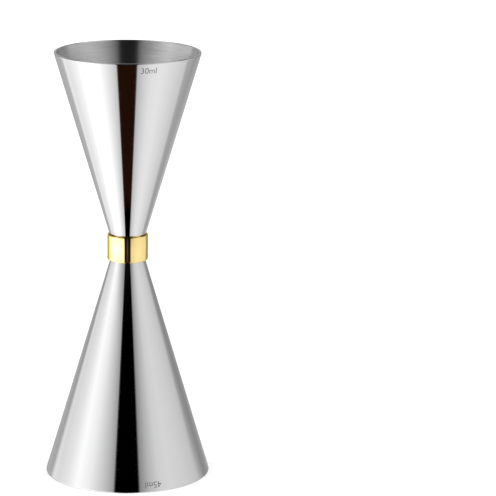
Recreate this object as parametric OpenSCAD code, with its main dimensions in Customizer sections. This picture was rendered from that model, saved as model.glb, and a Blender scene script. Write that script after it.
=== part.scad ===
// Two-ended bar jigger. A small and a large conical cup are joined floor to
// floor, inside a collar that hides the joint. It stands on the mouth of the
// large cup: that rim is the plane z = 0, and Z is the axis of every piece.
// Each cup's depth follows from the volume that it has to hold to the brim.

/* [Measures] */
// Volume of the small cup, filled to the brim, in millilitres
small_brim_ml = 30.5; // [28:0.5:35]
// Volume of the large cup, filled to the brim, in millilitres
large_brim_ml = 45; // [42:0.5:50]
// Volumes that have a line inside the small cup, in millilitres
small_lines_ml = [10, 20]; // [5:1:20]
// Volumes that have a line inside the large cup, in millilitres
large_lines_ml = [15, 30]; // [5:1:35]

/* [Cups] */
// Width inside the small cup's mouth
small_mouth_d = 41.2; // [38:0.1:42.5]
// Width inside the large cup's mouth
large_mouth_d = 46.8; // [44:0.1:49]
// Width inside the small cup's floor
small_floor_d = 7.25; // [6.8:0.05:7.4]
// Width inside the large cup's floor
large_floor_d = 6.8; // [6.5:0.05:7.4]
// Thickness of the steel sheet
wall = 0.8; // [0.7:0.05:0.9]
// Radius of both edges of a rim, with a flat land left between them
rim_r = 0.25; // [0.1:0.05:0.3]
// Radius inside the corner between wall and floor
floor_corner_r = 0.6; // [0.3:0.1:1]

/* [Volume lines] */
// Width of a line along the wall
line_w = 0.45; // [0.2:0.05:0.6]
// Depth of a line into the wall
line_depth = 0.12; // [0.05:0.01:0.2]
// Length of the gap left in a line for its number
line_gap = 13; // [8:0.5:16]

/* [Collar] */
// Width across the collar
collar_d = 11.9; // [11.8:0.1:13]
// Length of the collar along the axis
collar_h = 7.5; // [6:0.1:8]
// Width of the hole through the collar
collar_bore_d = 10.9; // [10.8:0.05:11]
// Radius of the collar's outer edges
collar_edge_r = 0.2; // [0.1:0.05:0.35]

/* [Joints] */
// Width of the spot weld between the two floors
weld_d = 4.0; // [3:0.1:4.5]
// Thickness of the spot weld, half of it in each floor
weld_h = 0.8; // [0.4:0.1:1]
// Length of the adhesive inside the collar, along the axis
adhesive_h = 5.0; // [4:0.1:6]

/* [Hidden] */
$fn = 96;
corner_steps = 5;
mm3_per_ml = 1000;

// A cup is [radius inside the mouth, radius inside the floor, depth]
small = cup_size(small_brim_ml, small_mouth_d / 2, small_floor_d / 2);
large = cup_size(large_brim_ml, large_mouth_d / 2, large_floor_d / 2);
waist_z = large[2] + wall;

// The cup of this mouth and floor that holds a volume to its brim
function cup_size(ml, mouth_r, floor_r) =
    [mouth_r, floor_r,
     3 * mm3_per_ml * ml / (PI * (mouth_r ^ 2 + mouth_r * floor_r + floor_r ^ 2))];

// Growth of a cup's radius for each millimetre of height
function cup_slope(size) = (size[0] - size[1]) / size[2];

// Height above the inside floor that a volume reaches in a cup
function fill_height(ml, size) =
    let (slope = cup_slope(size))
    ((size[1] ^ 3 + 3 * slope * mm3_per_ml * ml / PI) ^ (1 / 3) - size[1]) / slope;

function unit(v) = v / norm(v);

// Points along the arc of radius r that rounds the corner p between a and b
function rounded(a, p, b, r) =
    let (u = unit(a - p), v = unit(b - p), half = acos(u * v) / 2)
    let (reach = r / tan(half), centre = p + unit(u + v) * r / sin(half))
    [for (i = [0 : corner_steps])
        let (t = i / corner_steps)
        centre + r * unit(p + reach * (u * (1 - t) + v * t) - centre)];

// Thickness of the wall along the radius, not square to the wall
function wall_across(size) = wall * sqrt(1 + cup_slope(size) ^ 2);

// Corners outside the floor and outside the rim of a cup that stands on its floor, mouth up
function foot(size) = [size[1] + wall_across(size) - cup_slope(size) * wall, 0];
function rim_out(size) = [size[0] + wall_across(size), wall + size[2]];

module cup_shell(size) {
    axis_low = [0, 0];
    rim_in = [size[0], wall + size[2]];
    corner = [size[1], wall];
    axis_high = [0, wall];
    rotate_extrude()
        polygon(concat(
            [axis_low],
            rounded(axis_low, foot(size), rim_out(size), floor_corner_r + wall),
            rounded(foot(size), rim_out(size), rim_in, rim_r),
            rounded(rim_out(size), rim_in, corner, rim_r),
            rounded(rim_in, corner, axis_high, floor_corner_r),
            [axis_high]
        ));
}

// The same cup as a solid block, to cut its outside out of another piece
module cup_block(size) {
    axis_low = [0, 0];
    rotate_extrude()
        polygon(concat(
            [axis_low],
            rounded(axis_low, foot(size), rim_out(size), floor_corner_r + wall),
            [rim_out(size), [0, wall + size[2]]]
        ));
}

// Cutter for one V-shaped line round the inside wall, open at +Y
module volume_line(ml, size) {
    slope = cup_slope(size);
    height = fill_height(ml, size);
    r = size[1] + slope * height;
    along = unit([slope, 1]) * line_w / 2;
    out = unit([1, -slope]) * line_depth;
    at = [r, wall + height];
    gap_angle = line_gap / (PI * r) * 180;
    rotate([0, 0, 90 + gap_angle / 2])
        rotate_extrude(angle = 360 - gap_angle)
            polygon([at - along, at + out, at + along, at - out]);
}

module cup(size, lines_ml) {
    difference() {
        cup_shell(size);
        for (ml = lines_ml) volume_line(ml, size);
        cylinder(d = weld_d, h = weld_h, center = true);
    }
}

module small_cup() {
    color("lightgray")
        translate([0, 0, waist_z])
            cup(small, small_lines_ml);
}

module large_cup() {
    color("silver")
        translate([0, 0, waist_z])
            mirror([0, 0, 1])
                cup(large, large_lines_ml);
}

module collar() {
    low_in = [collar_bore_d / 2, -collar_h / 2];
    low_out = [collar_d / 2, -collar_h / 2];
    high_out = [collar_d / 2, collar_h / 2];
    high_in = [collar_bore_d / 2, collar_h / 2];
    color("goldenrod")
        translate([0, 0, waist_z])
            rotate_extrude()
                polygon(concat(
                    [low_in],
                    rounded(low_in, low_out, high_out, collar_edge_r),
                    rounded(low_out, high_out, high_in, collar_edge_r),
                    [high_in]
                ));
}

// Fused steel between the two floors
module spot_weld() {
    color("dimgray")
        translate([0, 0, waist_z])
            cylinder(d = weld_d, h = weld_h, center = true);
}

// Adhesive in the groove between the collar's hole and the two cups
module collar_adhesive() {
    color("burlywood")
        translate([0, 0, waist_z])
            difference() {
                cylinder(d = collar_bore_d, h = adhesive_h, center = true);
                cup_block(small);
                mirror([0, 0, 1]) cup_block(large);
            }
}

small_cup();
large_cup();
collar();
spot_weld();
collar_adhesive();
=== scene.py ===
"""The looks of a two-ended bar jigger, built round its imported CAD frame.

The jigger stands on the mouth of its large cup. Its axis is Z, and the side with the
volume near each rim is -Y. Lengths are in metres.
"""

import logging
import math
from dataclasses import dataclass
from enum import Enum
from typing import Any

import bpy
from mathutils import Matrix, Vector


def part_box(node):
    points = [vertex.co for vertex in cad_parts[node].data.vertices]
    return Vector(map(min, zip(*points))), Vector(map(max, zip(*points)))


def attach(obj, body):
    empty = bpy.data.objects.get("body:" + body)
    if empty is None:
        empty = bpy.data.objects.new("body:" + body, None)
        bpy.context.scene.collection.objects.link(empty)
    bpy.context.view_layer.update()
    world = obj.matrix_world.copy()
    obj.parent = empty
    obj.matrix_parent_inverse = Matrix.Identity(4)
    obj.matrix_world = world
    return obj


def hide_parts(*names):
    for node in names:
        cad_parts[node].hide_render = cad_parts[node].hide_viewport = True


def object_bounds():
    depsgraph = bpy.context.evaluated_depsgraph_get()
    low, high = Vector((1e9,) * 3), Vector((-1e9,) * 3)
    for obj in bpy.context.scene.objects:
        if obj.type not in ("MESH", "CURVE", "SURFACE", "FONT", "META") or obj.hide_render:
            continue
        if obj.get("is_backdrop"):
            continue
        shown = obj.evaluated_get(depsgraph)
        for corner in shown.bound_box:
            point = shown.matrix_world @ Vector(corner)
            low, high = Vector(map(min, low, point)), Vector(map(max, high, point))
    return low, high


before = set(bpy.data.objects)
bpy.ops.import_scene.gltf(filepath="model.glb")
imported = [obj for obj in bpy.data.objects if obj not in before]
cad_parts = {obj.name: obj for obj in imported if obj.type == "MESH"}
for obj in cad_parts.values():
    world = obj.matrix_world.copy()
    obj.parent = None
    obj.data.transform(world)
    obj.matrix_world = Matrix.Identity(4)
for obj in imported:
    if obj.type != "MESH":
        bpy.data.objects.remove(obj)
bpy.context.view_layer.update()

BODY = "root"
QUARTER_TURN = 0.25
FRONT = -math.pi / 2
BACK = math.pi / 2

logging.basicConfig(level=logging.INFO, format="%(name)s: %(message)s")
log = logging.getLogger("jigger")


class Facing(Enum):
    """Which way a cup's mouth points."""

    UP = 1
    DOWN = -1


class Side(Enum):
    """The side of a cup's wall that a mark is on."""

    OUTSIDE = 1
    INSIDE = -1


class Skin(Enum):
    """The two finishes of a cup's sheet, as material slots of its mesh."""

    POLISHED = 0
    SATIN = 1


def mm(value: float) -> float:
    """Returns millimetres in metres."""
    return value / 1000


# Two points nearer than this are taken for one.
TOUCH = mm(0.01)
# Nearly all of a noise lies between these two values.
NOISE_MIDDLE = (0.3, 0.7)


def linear(hex_colour: str) -> tuple[float, float, float, float]:
    """Turns an sRGB colour into the linear colour that a socket takes.

    Args:
        hex_colour: Six hex digits after a hash sign.

    Returns:
        Linear red, green and blue, and an alpha of 1.
    """
    channels = [int(hex_colour[i:i + 2], 16) / 255 for i in (1, 3, 5)]
    return (*[c / 12.92 if c <= 0.04045 else ((c + 0.055) / 1.055) ** 2.4 for c in channels], 1.0)


def grey(level: float) -> tuple[float, float, float, float]:
    """Returns a linear grey of that level."""
    return (level, level, level, 1.0)


def add_node(tree: bpy.types.NodeTree, kind: str, inputs: dict[Any, Any] | None = None,
             **settings: Any) -> bpy.types.Node:
    """Adds a node with its settings and links.

    Args:
        tree: The node tree that it goes into.
        kind: The node's type.
        inputs: For each input's name or number, its value or the output that feeds it.
        **settings: The node's own settings.

    Returns:
        The new node.
    """
    made = tree.nodes.new(kind)
    for name, value in settings.items():
        setattr(made, name, value)
    for socket, value in (inputs or {}).items():
        if isinstance(value, bpy.types.NodeSocket):
            tree.links.new(value, made.inputs[socket])
        else:
            made.inputs[socket].default_value = value
    return made


def set_ramp(ramp: bpy.types.ColorRamp, stops: list[tuple[float, tuple]]) -> None:
    """Gives a colour ramp its stops.

    Args:
        ramp: The ramp of a Color Ramp node.
        stops: Each stop's place from 0 to 1 and its linear colour, in order.
    """
    while len(ramp.elements) < len(stops):
        ramp.elements.new(1.0)
    for element, (place, colour) in zip(ramp.elements, stops):
        element.position = place
        element.color = colour


# ---------------------------------------------------------------- finishes


@dataclass(frozen=True)
class Finish:
    """A surface finish, made into one procedural material."""

    name: str
    colour: str
    roughness: float

    def start(self) -> tuple[bpy.types.Material, bpy.types.NodeTree, bpy.types.Node]:
        """Starts the material with its plain colour and roughness.

        Returns:
            The material, its node tree and its Principled shader.
        """
        material = bpy.data.materials.new(self.name)
        material.use_nodes = True
        tree = material.node_tree
        shader = tree.nodes["Principled BSDF"]
        shader.inputs["Base Color"].default_value = linear(self.colour)
        shader.inputs["Roughness"].default_value = self.roughness
        material.diffuse_color = linear(self.colour)
        return material, tree, shader


def ring_streaks(tree: bpy.types.NodeTree, spacing: float, length: float) -> bpy.types.NodeSocket:
    """Noise drawn out into fine rings round Z, as a lathe-held abrasive leaves.

    The rings are spaced by their distance from the axis, so they cross a cone's wall and
    a cup's floor alike.

    Args:
        tree: The material's node tree.
        spacing: The distance from one ring to the next, measured across the axis.
        length: How far a streak runs round the axis before it fades.

    Returns:
        The noise, from 0 to 1.
    """
    place = add_node(tree, "ShaderNodeTexCoord").outputs["Object"]
    flat = add_node(tree, "ShaderNodeVectorMath", {0: place, 1: (1, 1, 0)}, operation="MULTIPLY")
    reach = add_node(tree, "ShaderNodeVectorMath", {0: flat.outputs[0]}, operation="LENGTH")
    rings = add_node(tree, "ShaderNodeMath", {0: reach.outputs["Value"], 1: 1 / spacing},
                     operation="MULTIPLY")
    along = add_node(tree, "ShaderNodeVectorMath", {0: flat.outputs[0], "Scale": 1 / length},
                     operation="SCALE")
    split = add_node(tree, "ShaderNodeSeparateXYZ", {0: along.outputs[0]})
    drawn = add_node(tree, "ShaderNodeCombineXYZ",
                     {"X": split.outputs["X"], "Y": split.outputs["Y"], "Z": rings.outputs[0]})
    noise = add_node(tree, "ShaderNodeTexNoise",
                     {"Vector": drawn.outputs[0], "Scale": 1.0, "Detail": 3.0, "Roughness": 0.6})
    return noise.outputs["Fac"]


def spread(tree: bpy.types.NodeTree, fac: bpy.types.NodeSocket, low: float, high: float
           ) -> bpy.types.NodeSocket:
    """Stretches the middle of a noise over a range.

    Args:
        tree: The material's node tree.
        fac: The noise, from 0 to 1.
        low: The value where the noise is weak.
        high: The value where it is strong.

    Returns:
        The stretched value.
    """
    weak, strong = NOISE_MIDDLE
    node = add_node(tree, "ShaderNodeMapRange", {"Value": fac, "From Min": weak,
                                                 "From Max": strong, "To Min": low,
                                                 "To Max": high})
    return node.outputs["Result"]


def tinted(tree: bpy.types.NodeTree, fac: bpy.types.NodeSocket, weak: str, strong: str
           ) -> bpy.types.NodeSocket:
    """Mixes two sRGB colours by a value from 0 to 1 and returns the mix."""
    node = add_node(tree, "ShaderNodeMix", {0: fac, 6: linear(weak), 7: linear(strong)},
                    data_type="RGBA")
    return node.outputs[2]


@dataclass(frozen=True)
class MirrorSteel(Finish):
    """304 stainless steel, buffed to a mirror: sharp, neutral grey reflections.

    Buffing leaves a faint haze in rings that shows only as a slight change of gloss.
    """

    haze: float = 0.07
    haze_ring: float = mm(0.3)
    haze_length: float = mm(12)

    def material(self) -> bpy.types.Material:
        """Builds the material.

        Returns:
            The material.
        """
        material, tree, shader = self.start()
        shader.inputs["Metallic"].default_value = 1.0
        streaks = ring_streaks(tree, self.haze_ring, self.haze_length)
        tree.links.new(spread(tree, streaks, self.roughness, self.haze), shader.inputs["Roughness"])
        return material


@dataclass(frozen=True)
class SatinSteel(Finish):
    """304 stainless steel, brushed round the axis on a lathe: satin, with ring streaks.

    Abrasive lines are about 0.05 mm apart, too fine to show, so they are drawn several
    times coarser. They spread a reflection along the wall and leave it sharp round it.
    """

    dark_colour: str = "#BCBCBC"
    line_spacing: float = mm(0.09)
    line_length: float = mm(9)
    line_depth: float = mm(0.02)
    anisotropy: float = 0.8

    def material(self) -> bpy.types.Material:
        """Builds the material.

        Returns:
            The material.
        """
        material, tree, shader = self.start()
        shader.inputs["Metallic"].default_value = 1.0
        shader.inputs["Anisotropic"].default_value = self.anisotropy
        shader.inputs["Anisotropic Rotation"].default_value = QUARTER_TURN
        streaks = ring_streaks(tree, self.line_spacing, self.line_length)
        amount = spread(tree, streaks, 0.0, 1.0)
        bump = add_node(tree, "ShaderNodeBump", {"Height": streaks, "Distance": self.line_depth})
        tangent = add_node(tree, "ShaderNodeTangent", direction_type="RADIAL", axis="Z")
        tree.links.new(tinted(tree, amount, self.dark_colour, self.colour),
                       shader.inputs["Base Color"])
        tree.links.new(bump.outputs["Normal"], shader.inputs["Normal"])
        tree.links.new(tangent.outputs["Tangent"], shader.inputs["Tangent"])
        return material


@dataclass(frozen=True)
class GoldPlate(Finish):
    """Brass, turned, buffed and gold plated: a warm mirror whose yellow is slightly deeper in worn
    patches.
    """

    worn_colour: str = "#FBE096"
    edge_colour: str = "#F6E6A8"
    wear_size: float = mm(2.5)

    def material(self) -> bpy.types.Material:
        """Builds the material.

        Returns:
            The material.
        """
        material, tree, shader = self.start()
        shader.inputs["Metallic"].default_value = 1.0
        shader.inputs["Specular Tint"].default_value = linear(self.edge_colour)
        place = add_node(tree, "ShaderNodeTexCoord").outputs["Object"]
        noise = add_node(tree, "ShaderNodeTexNoise",
                         {"Vector": place, "Scale": 1 / self.wear_size, "Detail": 2.0})
        wear = spread(tree, noise.outputs["Fac"], 0.0, 1.0)
        tree.links.new(tinted(tree, wear, self.colour, self.worn_colour),
                       shader.inputs["Base Color"])
        return material


@dataclass(frozen=True)
class LaserMark(Finish):
    """Stainless steel darkened by a marking laser: a dull grey oxide, slightly grainy."""

    pale_colour: str = "#6A6A69"
    grain: float = mm(0.12)

    def material(self) -> bpy.types.Material:
        """Builds the material.

        Returns:
            The material.
        """
        material, tree, shader = self.start()
        shader.inputs["Metallic"].default_value = 0.5
        place = add_node(tree, "ShaderNodeTexCoord").outputs["Object"]
        noise = add_node(tree, "ShaderNodeTexNoise",
                         {"Vector": place, "Scale": 1 / self.grain, "Detail": 2.0})
        amount = spread(tree, noise.outputs["Fac"], 0.0, 1.0)
        tree.links.new(tinted(tree, amount, self.colour, self.pale_colour),
                       shader.inputs["Base Color"])
        return material


@dataclass(frozen=True)
class WeldMetal(Finish):
    """Steel that has melted and set again: dull grey, tinted straw by the heat."""

    tint: str = "#8A7452"
    blotch: float = mm(1.2)

    def material(self) -> bpy.types.Material:
        """Builds the material.

        Returns:
            The material.
        """
        material, tree, shader = self.start()
        shader.inputs["Metallic"].default_value = 1.0
        place = add_node(tree, "ShaderNodeTexCoord").outputs["Object"]
        noise = add_node(tree, "ShaderNodeTexNoise",
                         {"Vector": place, "Scale": 1 / self.blotch, "Detail": 4.0})
        amount = spread(tree, noise.outputs["Fac"], 0.0, 1.0)
        tree.links.new(tinted(tree, amount, self.colour, self.tint), shader.inputs["Base Color"])
        return material


@dataclass(frozen=True)
class Epoxy(Finish):
    """Cured two-part epoxy: amber and glossy, with small bubbles in it."""

    bubble_colour: str = "#C9B98E"
    bubble: float = mm(0.5)

    def material(self) -> bpy.types.Material:
        """Builds the material.

        Returns:
            The material.
        """
        material, tree, shader = self.start()
        place = add_node(tree, "ShaderNodeTexCoord").outputs["Object"]
        cells = add_node(tree, "ShaderNodeTexVoronoi", {"Vector": place, "Scale": 1 / self.bubble})
        amount = add_node(tree, "ShaderNodeMapRange",
                          {"Value": cells.outputs["Distance"], "From Min": 0.1, "From Max": 0.35})
        tree.links.new(tinted(tree, amount.outputs["Result"], self.bubble_colour, self.colour),
                       shader.inputs["Base Color"])
        return material


@dataclass(frozen=True)
class BackdropPaper(Finish):
    """Matt white seamless paper, with the faint mottle of its fibres."""

    shade: str = "#F4F4F3"
    fibre: float = mm(4)

    def material(self) -> bpy.types.Material:
        """Builds the material.

        Returns:
            The material.
        """
        material, tree, shader = self.start()
        place = add_node(tree, "ShaderNodeTexCoord").outputs["Object"]
        noise = add_node(tree, "ShaderNodeTexNoise", {"Vector": place, "Scale": 1 / self.fibre})
        amount = spread(tree, noise.outputs["Fac"], 0.0, 1.0)
        tree.links.new(tinted(tree, amount, self.colour, self.shade), shader.inputs["Base Color"])
        return material


@dataclass(frozen=True)
class Finishes:
    """Every material of the jigger, made once and shared by its pieces."""

    polished: bpy.types.Material
    satin: bpy.types.Material
    gold: bpy.types.Material
    mark: bpy.types.Material
    weld: bpy.types.Material
    epoxy: bpy.types.Material

    @classmethod
    def make(cls) -> "Finishes":
        """Builds the materials and returns them."""
        return cls(
            polished=MirrorSteel("mirror_buffed_stainless", "#DADADB", 0.035).material(),
            satin=SatinSteel("ring_brushed_stainless", "#CBCBCB", 0.25).material(),
            gold=GoldPlate("gold_plated_brass", "#FEE7A4", 0.04).material(),
            mark=LaserMark("laser_annealed_steel", "#4B4B4B", 0.55).material(),
            weld=WeldMetal("spot_welded_steel", "#77787A", 0.5).material(),
            epoxy=Epoxy("cured_epoxy", "#A8905C", 0.3).material(),
        )


# ---------------------------------------------------------------- modelling


def deselect_all() -> None:
    """Leaves no object selected."""
    bpy.ops.object.select_all(action="DESELECT")


def finish_piece(piece: bpy.types.Object, node: str | None, slot: str) -> None:
    """Ties a finished piece to the frame and reports it.

    Args:
        piece: The piece, in its place.
        node: The CAD node that it stands for, or None.
        slot: The name of the record's material slot that it stands for, which is only logged.
    """
    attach(piece, BODY)
    if node:
        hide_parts(node)
    log.info("%s: %d faces, slot %s", piece.name, len(piece.data.polygons), slot)


def arc(centre: Vector, start: Vector, end: Vector, steps: int) -> list[Vector]:
    """Points from start to end round a centre that is as far from both.

    Args:
        centre: The arc's centre.
        start: Its first point.
        end: Its last point.
        steps: How many chords it has.

    Returns:
        The points, both ends included.
    """
    turn = (start - centre).angle_signed(end - centre)
    return [centre + Matrix.Rotation(-turn * i / steps, 2) @ (start - centre)
            for i in range(steps + 1)]


def rounded(before: Vector, corner: Vector, after: Vector, radius: float, steps: int
            ) -> list[Vector]:
    """The arc that rounds a corner of an outline.

    Args:
        before: The outline's point before the corner.
        corner: The sharp corner.
        after: The outline's point after it.
        radius: The radius of the arc.
        steps: How many chords it has.

    Returns:
        The arc's points, both ends included.
    """
    back, on = (before - corner).normalized(), (after - corner).normalized()
    half = back.angle(on) / 2
    reach = radius / math.tan(half)
    centre = corner + (back + on).normalized() * (radius / math.sin(half))
    return arc(centre, corner + back * reach, corner + on * reach, steps)


@dataclass
class Lathe:
    """Grows a closed mesh ring by ring about Z, as sheet is spun over a former."""

    name: str
    segments: int = 256

    def spin(self, outline: list[Vector]) -> bpy.types.Object:
        """Turns an outline from the axis back to the axis.

        Args:
            outline: Its points as (distance from the axis, height). The first and the last
                are the edges of two flat discs.

        Returns:
            The turned piece.
        """
        deselect_all()
        radius, height = outline[0]
        bpy.ops.mesh.primitive_circle_add(vertices=self.segments, radius=radius,
                                          location=(0, 0, height), fill_type="TRIFAN")
        piece = bpy.context.active_object
        piece.name = piece.data.name = self.name
        bpy.ops.object.transform_apply(location=True, rotation=True, scale=True)
        bpy.ops.object.mode_set(mode="EDIT")
        bpy.ops.mesh.select_all(action="SELECT")
        for next_radius, next_height in outline[1:]:
            bpy.ops.mesh.extrude_region_move(
                TRANSFORM_OT_translate={"value": (0, 0, next_height - height)})
            scale = next_radius / radius
            bpy.ops.transform.resize(value=(scale, scale, 1), center_override=(0, 0, next_height))
            radius, height = next_radius, next_height
        bpy.ops.mesh.select_all(action="SELECT")
        bpy.ops.mesh.normals_make_consistent(inside=False)
        bpy.ops.object.mode_set(mode="OBJECT")
        return piece


def smooth(piece: bpy.types.Object, angle: float) -> None:
    """Shades a piece smooth, but for its sharp edges.

    Args:
        piece: The piece.
        angle: The least angle between two faces, in degrees, that stays a sharp edge.
    """
    deselect_all()
    piece.select_set(True)
    bpy.context.view_layer.objects.active = piece
    bpy.ops.object.shade_smooth_by_angle(angle=math.radians(angle))


def dress(piece: bpy.types.Object, *materials: bpy.types.Material) -> None:
    """Gives a piece its material slots, in order, in place of any that it has."""
    piece.data.materials.clear()
    for material in materials:
        piece.data.materials.append(material)


@dataclass(frozen=True)
class VolumeLine:
    """One engraved line round the inside of a cup, broken by its number."""

    ml: float
    width: float = mm(0.45)
    depth: float = mm(0.12)
    gap: float = mm(13)
    margin: float = mm(0.1)

    @property
    def text(self) -> str:
        """The number in the gap."""
        return f"{self.ml:g}ml"


@dataclass
class Cup:
    """A conical cup spun from sheet: mirror outside, satin inside, with a plain rim."""

    node: str
    facing: Facing
    capacity_ml: float
    mouth_radius: float
    floor_radius: float
    lines: tuple[VolumeLine, ...]
    name_height: float
    name_inset: float
    name_turn: float
    finishes: Finishes
    wall: float = mm(0.8)
    rim_radius: float = mm(0.25)
    floor_corner: float = mm(0.6)
    floor_steps: int = 6
    rim_steps: int = 8
    number_height: float = mm(2.4)

    def __post_init__(self) -> None:
        """Takes the cup's depth and place from its CAD node."""
        low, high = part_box(self.node)
        self.depth = high.z - low.z - self.wall
        self.foot_z = low.z if self.facing is Facing.UP else high.z
        self.slope = (self.mouth_radius - self.floor_radius) / self.depth
        self.lean = math.atan(self.slope)

    def level(self, ml: float) -> float:
        """How high a volume stands above the inside floor.

        Args:
            ml: The volume in millilitres.

        Returns:
            The height.
        """
        cubic_metres = ml * 1e-6
        cube = self.floor_radius ** 3 + 3 * self.slope * cubic_metres / math.pi
        return (cube ** (1 / 3) - self.floor_radius) / self.slope

    def wall_point(self, height: float, side: Side, proud: float = 0.0) -> Vector:
        """A point on the wall.

        Args:
            height: Its height above the inside floor, before any step off the wall.
            side: The side of the wall.
            proud: How far it stands off the wall.

        Returns:
            Its distance from the axis, and its height above the outside of the floor.
        """
        off = Vector((math.cos(self.lean), -math.sin(self.lean)))
        point = Vector((self.floor_radius + self.slope * height, self.wall + height))
        if side is Side.OUTSIDE:
            point += off * self.wall
        return point + off * proud * side.value

    def placed(self, point: Vector) -> Vector:
        """Turns the cup's own (radius, height) into the frame's."""
        return Vector((point.x, self.foot_z + self.facing.value * point.y))

    def outline(self) -> list[Vector]:
        """Draws the cup's outline, from the floor's outside over the rim to its inside.

        Returns:
            The outline's points, in the frame's (radius, height).
        """
        across = self.wall * math.sqrt(1 + self.slope ** 2)
        foot = Vector((self.floor_radius + across - self.slope * self.wall, 0))
        rim_out = Vector((self.mouth_radius + across, self.wall + self.depth))
        rim_in = Vector((self.mouth_radius, self.wall + self.depth))
        corner = Vector((self.floor_radius, self.wall))
        axis_low, axis_high = Vector((0, 0)), Vector((0, self.wall))
        points = rounded(axis_low, foot, rim_out, self.floor_corner + self.wall, self.floor_steps)
        points += rounded(foot, rim_out, rim_in, self.rim_radius, self.rim_steps)
        points += rounded(rim_out, rim_in, corner, self.rim_radius, self.rim_steps)
        for line in sorted(self.lines, key=lambda one: -one.ml):
            points += self.groove(line)
        points += rounded(rim_in, corner, axis_high, self.floor_corner, self.floor_steps)
        return [self.placed(point) for point in points]

    def groove(self, line: VolumeLine) -> list[Vector]:
        """The outline points of a line, from the rim's side to the floor's.

        Args:
            line: The line.

        Returns:
            Its bottom, its two edges, and two points close by that keep the wall beyond
            them flat where the line ends.
        """
        height = self.level(line.ml)
        half = line.width / 2 * math.cos(self.lean)
        steps = ((half + line.margin, 0.0), (half, 0.0), (0.0, -line.depth), (-half, 0.0),
                 (-half - line.margin, 0.0))
        return [self.wall_point(height + up, Side.INSIDE, proud) for up, proud in steps]

    def close_gaps(self, piece: bpy.types.Object) -> None:
        """Brings the bottom of each line back to the wall where its number stands.

        Args:
            piece: The cup's mesh.
        """
        for line in self.lines:
            deep = self.placed(self.wall_point(self.level(line.ml), Side.INSIDE, -line.depth))
            flush = self.placed(self.wall_point(self.level(line.ml), Side.INSIDE))
            half_gap = line.gap / 2 / flush.x
            for vertex in piece.data.vertices:
                radius = math.hypot(vertex.co.x, vertex.co.y)
                on_line = abs(radius - deep.x) < TOUCH and abs(vertex.co.z - deep.y) < TOUCH
                if on_line and abs(math.atan2(vertex.co.x, vertex.co.y)) < half_gap:
                    vertex.co.x *= flush.x / radius
                    vertex.co.y *= flush.x / radius
                    vertex.co.z = flush.y

    def paint(self, piece: bpy.types.Object) -> None:
        """Gives the inside of the wall and floor the satin slot, and the rest the polished.

        Args:
            piece: The cup's mesh.
        """
        dress(piece, self.finishes.polished, self.finishes.satin)
        for face in piece.data.polygons:
            centre = face.center
            height = (centre.z - self.foot_z) * self.facing.value - self.wall
            middle = self.wall_point(height, Side.INSIDE).x + self.wall / 2
            inside = math.hypot(centre.x, centre.y) < middle
            below_rim = height < self.depth - self.rim_radius
            above_floor = height > -self.wall / 2
            satin = inside and below_rim and above_floor
            face.material_index = (Skin.SATIN if satin else Skin.POLISHED).value

    def build(self) -> bpy.types.Object:
        """Builds the cup and everything marked on it.

        Returns:
            The cup.
        """
        piece = Lathe(self.node + "_sheet").spin(self.outline())
        self.close_gaps(piece)
        self.paint(piece)
        smooth(piece, 20)
        finish_piece(piece, self.node, "polished_steel")
        self.write_marks()
        return piece

    def write_marks(self) -> None:
        """Writes the capacity near the rim, and each line's number in its gap."""
        Mark(f"{self.capacity_ml:g}ml", self, Side.OUTSIDE, FRONT + math.radians(self.name_turn),
             self.name_height, self.depth - self.name_inset * math.cos(self.lean)).write()
        for line in self.lines:
            Mark(line.text, self, Side.INSIDE, BACK, self.number_height,
                 self.level(line.ml)).write()


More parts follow.
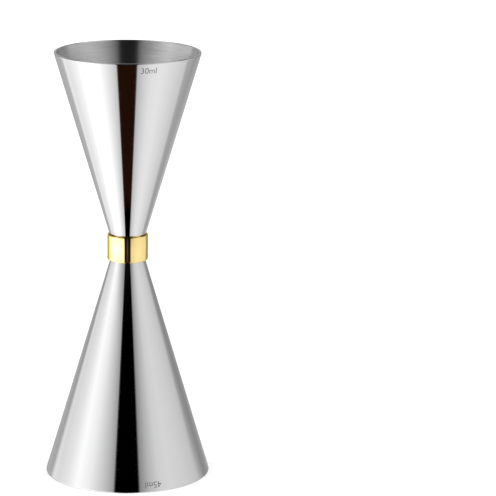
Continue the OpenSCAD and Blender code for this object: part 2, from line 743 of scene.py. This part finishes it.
@dataclass
class Mark:
    """A volume that a laser has written on a cup's wall, its top towards the rim."""

    text: str
    cup: Cup
    side: Side
    azimuth: float
    cap_height: float
    height: float
    proud: float = mm(0.012)
    sunk: float = mm(0.03)
    column: float = mm(0.25)
    thinning: float = -0.008
    spacing: float = 1.0
    narrowing: float = 0.97

    def write(self) -> bpy.types.Object:
        """Writes the mark and wraps it round the wall.

        Returns:
            The mark.
        """
        piece = self.lettering()
        self.slice_columns(piece)
        self.wrap(piece)
        dress(piece, self.cup.finishes.mark)
        finish_piece(piece, None, "polished_steel")
        return piece

    def lettering(self) -> bpy.types.Object:
        """Makes the text a flat solid of the right height, centred on the origin.

        Returns:
            The flat letters.
        """
        deselect_all()
        bpy.ops.object.text_add(location=(0, 0, 0))
        letters = bpy.context.active_object
        letters.name = f"{self.cup.node}_mark_{self.text}"
        letters.data.body = self.text
        letters.data.offset = self.thinning
        letters.data.space_character = self.spacing
        bpy.ops.object.convert(target="MESH")
        letters = bpy.context.active_object
        corners = [Vector(corner) for corner in letters.bound_box]
        size, middle = corners[6] - corners[0], (corners[6] + corners[0]) / 2
        grow = self.cap_height / size.y
        letters.data.transform(Matrix.Diagonal((grow * self.narrowing, grow, 1, 1))
                               @ Matrix.Translation(-middle))
        bpy.ops.object.mode_set(mode="EDIT")
        bpy.ops.mesh.select_all(action="SELECT")
        bpy.ops.transform.translate(value=(0, 0, -self.sunk))
        bpy.ops.mesh.extrude_region_move(
            TRANSFORM_OT_translate={"value": (0, 0, self.sunk + self.proud)})
        bpy.ops.mesh.select_all(action="SELECT")
        bpy.ops.mesh.normals_make_consistent(inside=False)
        bpy.ops.object.mode_set(mode="OBJECT")
        return letters

    def slice_columns(self, piece: bpy.types.Object) -> None:
        """Cuts the letters into narrow columns, so that they can bend round the wall.

        Args:
            piece: The flat letters.
        """
        half = max(abs(vertex.co.x) for vertex in piece.data.vertices)
        bpy.ops.object.mode_set(mode="EDIT")
        for i in range(math.floor(-half / self.column), math.ceil(half / self.column) + 1):
            bpy.ops.mesh.select_all(action="SELECT")
            bpy.ops.mesh.bisect(plane_co=(i * self.column, 0, 0), plane_no=(1, 0, 0))
        bpy.ops.mesh.select_all(action="SELECT")
        bpy.ops.mesh.remove_doubles(threshold=mm(0.0005))
        bpy.ops.mesh.quads_convert_to_tris()
        bpy.ops.object.mode_set(mode="OBJECT")

    def wrap(self, piece: bpy.types.Object) -> None:
        """Lays the flat letters on the wall.

        Args:
            piece: The flat letters: X along the line of text, Y up it, Z off the wall.
        """
        turn = self.side.value * self.cup.facing.value
        for vertex in piece.data.vertices:
            across, up, off = vertex.co
            height = self.height + up * math.cos(self.cup.lean)
            wall = self.cup.wall_point(height, self.side)
            point = self.cup.placed(self.cup.wall_point(height, self.side, off))
            angle = self.azimuth + turn * across / wall.x
            vertex.co = (point.x * math.cos(angle), point.x * math.sin(angle), point.y)


@dataclass
class Collar:
    """The gold-coloured band that hides the joint at the waist."""

    node: str
    finishes: Finishes
    bore_radius: float = mm(5.45)
    edge_radius: float = mm(0.2)
    bore_edge: float = mm(0.08)
    edge_steps: int = 8
    bore_edge_steps: int = 3
    segments: int = 192

    def build(self) -> bpy.types.Object:
        """Turns the band.

        Returns:
            The band.
        """
        low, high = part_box(self.node)
        wall, length = high.x - self.bore_radius, high.z - low.z
        deselect_all()
        bpy.ops.mesh.primitive_plane_add(size=1, rotation=(math.pi / 2, 0, 0), location=(
            self.bore_radius + wall / 2, 0, (low.z + high.z) / 2))
        piece = bpy.context.active_object
        piece.name = piece.data.name = "collar_band"
        piece.scale = (wall, length, 1)
        bpy.ops.object.transform_apply(location=True, rotation=True, scale=True)
        self.round_corners(piece, wall)
        bpy.ops.object.mode_set(mode="EDIT")
        bpy.ops.mesh.select_all(action="SELECT")
        bpy.ops.mesh.delete(type="ONLY_FACE")
        bpy.ops.mesh.select_all(action="SELECT")
        bpy.ops.mesh.spin(steps=self.segments, angle=2 * math.pi, center=(0, 0, 0), axis=(0, 0, 1))
        bpy.ops.mesh.select_all(action="SELECT")
        bpy.ops.mesh.remove_doubles(threshold=mm(0.001))
        bpy.ops.mesh.normals_make_consistent(inside=False)
        bpy.ops.object.mode_set(mode="OBJECT")
        smooth(piece, 30)
        dress(piece, self.finishes.gold)
        finish_piece(piece, self.node, "gold_plate")
        return piece

    def round_corners(self, piece: bpy.types.Object, wall: float) -> None:
        """Rounds the section's two outer corners well and breaks the two inner ones.

        Args:
            piece: The band's section, a rectangle.
            wall: The band's thickness.
        """
        middle = self.bore_radius + wall / 2
        for outer, radius, steps in ((True, self.edge_radius, self.edge_steps),
                                     (False, self.bore_edge, self.bore_edge_steps)):
            corners = [v.index for v in piece.data.vertices if (v.co.x > middle) is outer]
            if not outer:
                corners = [i for i in corners
                           if abs(piece.data.vertices[i].co.x - self.bore_radius) < TOUCH]
            bpy.ops.object.mode_set(mode="EDIT")
            bpy.ops.mesh.select_mode(type="VERT")
            bpy.ops.mesh.select_all(action="DESELECT")
            bpy.ops.object.mode_set(mode="OBJECT")
            for index in corners:
                piece.data.vertices[index].select = True
            bpy.ops.object.mode_set(mode="EDIT")
            bpy.ops.mesh.bevel(offset=radius, segments=steps, affect="VERTICES")
            bpy.ops.object.mode_set(mode="OBJECT")


@dataclass
class Jigger:
    """The whole jigger: two cups, the collar, and what joins them inside it."""

    finishes: Finishes

    def build(self) -> None:
        """Builds every piece in turn."""
        Cup("small_cup", Facing.UP, 30, mm(20.6), mm(3.625), (VolumeLine(10), VolumeLine(20)),
            name_height=mm(1.75), name_inset=mm(2.0), name_turn=-0.8,
            finishes=self.finishes).build()
        Cup("large_cup", Facing.DOWN, 45, mm(23.4), mm(3.4), (VolumeLine(15), VolumeLine(30)),
            name_height=mm(1.8), name_inset=mm(1.9), name_turn=1.0,
            finishes=self.finishes).build()
        Collar("collar", self.finishes).build()
        self.dress_joints()

    def dress_joints(self) -> None:
        """Gives the CAD weld and adhesive their own materials."""
        for node, material in (("spot_weld", self.finishes.weld),
                               ("collar_adhesive", self.finishes.epoxy)):
            dress(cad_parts[node], material)
            log.info("%s: CAD node, material %s", node, material.name)


# ---------------------------------------------------------------- studio


@dataclass(frozen=True)
class TentStop:
    """How bright the light tent's wall is in one direction from the jigger.

    The wall is given at three heights: low, where the cloth of the table adds to it, at
    the level that the collar faces, and high. Its foot, below low, follows from low.
    """

    azimuth: float
    low: float
    level: float
    high: float

    @property
    def foot(self) -> float:
        """Below low, where only the flag is darker: its own foot is in the shade."""
        return self.low


# Angles are counted from the camera, in degrees. Each wall of the tent ends sharply at the
# flag, and is brightest where its lamp stands behind it.
LEFT_WALL = (
    TentStop(-180, 0.40, 0.42, 0.45),
    TentStop(-165, 0.46, 0.47, 0.46),
    TentStop(-138, 0.59, 0.60, 0.40),
    TentStop(-132, 0.61, 0.86, 0.70),
    TentStop(-128, 1.13, 1.08, 0.98),
    TentStop(-117, 1.07, 1.35, 0.95),
    TentStop(-95, 1.31, 2.40, 1.10),
    TentStop(-75, 1.90, 2.80, 1.41),
    TentStop(-55, 1.53, 2.70, 1.19),
    TentStop(-29, 0.97, 2.00, 0.67),
    TentStop(-20, 0.76, 1.90, 0.46),
)
RIGHT_WALL = (
    TentStop(17.3, 0.64, 0.80, 0.34),
    TentStop(29, 0.87, 0.92, 0.61),
    TentStop(45, 1.06, 0.97, 0.87),
    TentStop(62, 1.10, 1.00, 0.94),
    TentStop(87, 0.96, 0.98, 0.87),
    TentStop(111, 0.80, 0.98, 0.76),
    TentStop(116, 0.56, 0.95, 0.68),
    TentStop(120, 0.52, 0.90, 0.54),
    TentStop(126, 0.47, 0.64, 0.40),
    TentStop(136, 0.46, 0.33, 0.33),
    TentStop(165, 0.80, 0.44, 0.36),
    TentStop(180, 1.05, 0.46, 0.45),
)


@dataclass
class Studio:
    """A white light tent with a black flag in front, and a camera in line with the flag.

    The tent's roof is dark, but for a soft lamp to its left and one to its right. A height
    in the tent is the upward part of a direction of length 1, and each pair of heights is
    where one band of the tent starts to give way to the next and where it has. The roof's
    lamps are found by a height to which the sideways part is added, times their reach.
    """

    azimuth: float = -17.5
    elevation: float = 13.68
    distance: float = 0.8616
    lens_mm: float = 213.0
    aim_right: float = 2.347
    aim_up: float = 0.30
    roof: float = 0.02
    roof_lean: float = -0.05
    roof_lamps: float = 1.4
    roof_lamp_reach: float = 0.6
    foot_to_low: tuple[float, float] = (-0.76, -0.745)
    low_to_level: tuple[float, float] = (-0.40, -0.225)
    level_to_high: tuple[float, float] = (-0.22, -0.05)
    high_to_roof: tuple[float, float] = (0.36, 0.62)
    roof_to_lamps: tuple[float, float] = (1.05, 1.12)
    flag_edge: float = 2.0
    flag_colour: str = "#261208"
    flag_shine: str = "#5E5269"
    flag_grey: float = 0.008
    shine_width: float = 12.0
    lamp_size: float = 6.0
    lamp_height: float = 3.0
    lamp_watts: float = 190.0
    floor_radius: float = 2.5
    cove_radius: float = 1.2
    cove_steps: int = 12
    backdrop_height: float = 2.5

    def build(self) -> None:
        """Sets up the light, the lamp, the backdrop and the camera."""
        bpy.context.scene.view_settings.view_transform = "Standard"
        self.light()
        self.lamp()
        self.backdrop()
        self.camera()

    def ring_stops(self, height: str) -> list[tuple[float, tuple]]:
        """The tent's wall all the way round, as stops of a ramp.

        Args:
            height: Which brightness of each stop to take: "foot", "low", "level" or "high".

        Returns:
            The stops. The middle of the ramp is the direction of the camera.
        """
        dark, shine = {"foot": (grey(0.0), grey(0.0)),
                       "low": (linear(self.flag_colour), linear(self.flag_colour)),
                       "level": (grey(self.flag_grey), linear(self.flag_shine)),
                       "high": (grey(0.0), grey(0.0))}[height]
        first, last = LEFT_WALL[-1].azimuth + self.flag_edge, RIGHT_WALL[0].azimuth - self.flag_edge
        middle = (first + last) / 2
        stops = [(stop.azimuth, grey(getattr(stop, height))) for stop in LEFT_WALL]
        stops += [(first, dark), (middle - self.shine_width / 2, dark), (middle, shine),
                  (middle + self.shine_width / 2, dark), (last, dark)]
        stops += [(stop.azimuth, grey(getattr(stop, height))) for stop in RIGHT_WALL]
        return [((angle + 180) / 360, colour) for angle, colour in stops]

    def wall(self, tree: bpy.types.NodeTree, height: str, place: bpy.types.NodeSocket
             ) -> bpy.types.NodeSocket:
        """Adds the ramp of the tent's wall at one height.

        Args:
            tree: The world's node tree.
            height: Which height, "foot", "low", "level" or "high".
            place: The direction round the axis, from 0 to 1.

        Returns:
            The colour of the wall.
        """
        ramp = add_node(tree, "ShaderNodeValToRGB", {"Fac": place})
        set_ramp(ramp.color_ramp, self.ring_stops(height))
        return ramp.outputs["Color"]

    def light(self) -> None:
        """Lights the scene from all round, as the inside of the tent does."""
        world = bpy.data.worlds.new("light_tent")
        bpy.context.scene.world = world
        world.use_nodes = True
        tree = world.node_tree
        tree.nodes.clear()
        direction = add_node(tree, "ShaderNodeTexCoord").outputs["Generated"]
        turned = add_node(tree, "ShaderNodeVectorRotate",
                          {"Vector": direction, "Angle": -math.radians(self.azimuth)},
                          rotation_type="Z_AXIS")
        axes = add_node(tree, "ShaderNodeSeparateXYZ", {0: turned.outputs[0]}).outputs
        nearer = add_node(tree, "ShaderNodeMath", {0: axes["Y"], 1: -1.0}, operation="MULTIPLY")
        angle = add_node(tree, "ShaderNodeMath", {0: axes["X"], 1: nearer.outputs[0]},
                         operation="ARCTAN2")
        place = add_node(tree, "ShaderNodeMapRange",
                         {"Value": angle.outputs[0], "From Min": -math.pi, "From Max": math.pi})
        tent, low, level, high = (self.wall(tree, height, place.outputs[0])
                                  for height in ("foot", "low", "level", "high"))
        leaning = add_node(tree, "ShaderNodeMath", {0: axes["X"], 1: self.roof_lean, 2: axes["Z"]},
                           operation="MULTIPLY_ADD").outputs[0]
        aside = add_node(tree, "ShaderNodeMath", {0: axes["X"]}, operation="ABSOLUTE")
        sideways = add_node(tree, "ShaderNodeMath",
                            {0: aside.outputs[0], 1: self.roof_lamp_reach, 2: axes["Z"]},
                            operation="MULTIPLY_ADD").outputs[0]
        for upper, up, (start, end) in ((low, axes["Z"], self.foot_to_low),
                                        (level, axes["Z"], self.low_to_level),
                                        (high, axes["Z"], self.level_to_high),
                                        (grey(self.roof), leaning, self.high_to_roof),
                                        (grey(self.roof_lamps), sideways, self.roof_to_lamps)):
            rise = add_node(tree, "ShaderNodeMapRange",
                            {"Value": up, "From Min": start, "From Max": end})
            tent = add_node(tree, "ShaderNodeMix", {0: rise.outputs[0], 6: tent, 7: upper},
                            data_type="RGBA").outputs[2]
        glow = add_node(tree, "ShaderNodeBackground", {"Color": tent})
        add_node(tree, "ShaderNodeOutputWorld", {"Surface": glow.outputs[0]})

    def lamp(self) -> None:
        """Hangs a large soft lamp over the table, which the steel doesn't mirror."""
        data = bpy.data.lights.new("overhead_softbox", "AREA")
        data.energy, data.size = self.lamp_watts, self.lamp_size
        lamp = bpy.data.objects.new("overhead_softbox", data)
        lamp.location = (0, 0, self.lamp_height)
        lamp.visible_glossy = False
        bpy.context.scene.collection.objects.link(lamp)

    def backdrop(self) -> None:
        """A round sheet of white paper, curved up at its edge, that only the camera sees.

        The polished steel reflects the tent instead, as it would with the paper kept small.
        """
        deselect_all()
        bpy.ops.mesh.primitive_circle_add(vertices=128, radius=self.floor_radius,
                                          fill_type="TRIFAN")
        paper = bpy.context.active_object
        paper.name = "backdrop"
        bpy.ops.object.mode_set(mode="EDIT")
        bpy.ops.mesh.select_all(action="DESELECT")
        bpy.ops.mesh.select_non_manifold()
        radius, height = self.floor_radius, 0.0
        turns = (math.pi / 2 * i / self.cove_steps for i in range(1, self.cove_steps + 1))
        rings = [(self.floor_radius + self.cove_radius * math.sin(turn),
                  self.cove_radius * (1 - math.cos(turn))) for turn in turns]
        top = (self.floor_radius + self.cove_radius, self.backdrop_height)
        for next_radius, next_height in [*rings, top]:
            bpy.ops.mesh.extrude_region_move(
                TRANSFORM_OT_translate={"value": (0, 0, next_height - height)})
            scale = next_radius / radius
            bpy.ops.transform.resize(value=(scale, scale, 1), center_override=(0, 0, next_height))
            radius, height = next_radius, next_height
        bpy.ops.object.mode_set(mode="OBJECT")
        smooth(paper, 60)
        dress(paper, BackdropPaper("white_paper", "#FAFAFA", 0.9).material())
        paper.visible_glossy = paper.visible_diffuse = paper.visible_shadow = False
        paper.visible_transmission = False
        paper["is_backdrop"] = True

    def camera(self) -> None:
        """Puts the camera in line with the flag, with the jigger to the left of its view."""
        low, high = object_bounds()
        centre = (low + high) / 2
        a, e = math.radians(self.azimuth), math.radians(self.elevation)
        back = Vector((math.sin(a) * math.cos(e), -math.cos(a) * math.cos(e), math.sin(e)))
        data = bpy.data.cameras.new("camera")
        data.lens, data.sensor_width = self.lens_mm, 36.0
        data.clip_start, data.clip_end = 0.05, 50.0
        camera = bpy.data.objects.new("camera", data)
        bpy.context.scene.collection.objects.link(camera)
        facing = (-back).to_track_quat("-Z", "Y").to_matrix()
        aim = Matrix.Rotation(-math.radians(self.aim_right), 3, "Y")
        aim = aim @ Matrix.Rotation(math.radians(self.aim_up), 3, "X")
        camera.matrix_world = Matrix.Translation(centre + back * self.distance) @ (
            facing @ aim).to_4x4()
        bpy.context.scene.camera = camera


def main() -> None:
    """Builds the jigger and its studio."""
    Jigger(Finishes.make()).build()
    Studio().build()


if __name__ == "__main__":
    main()
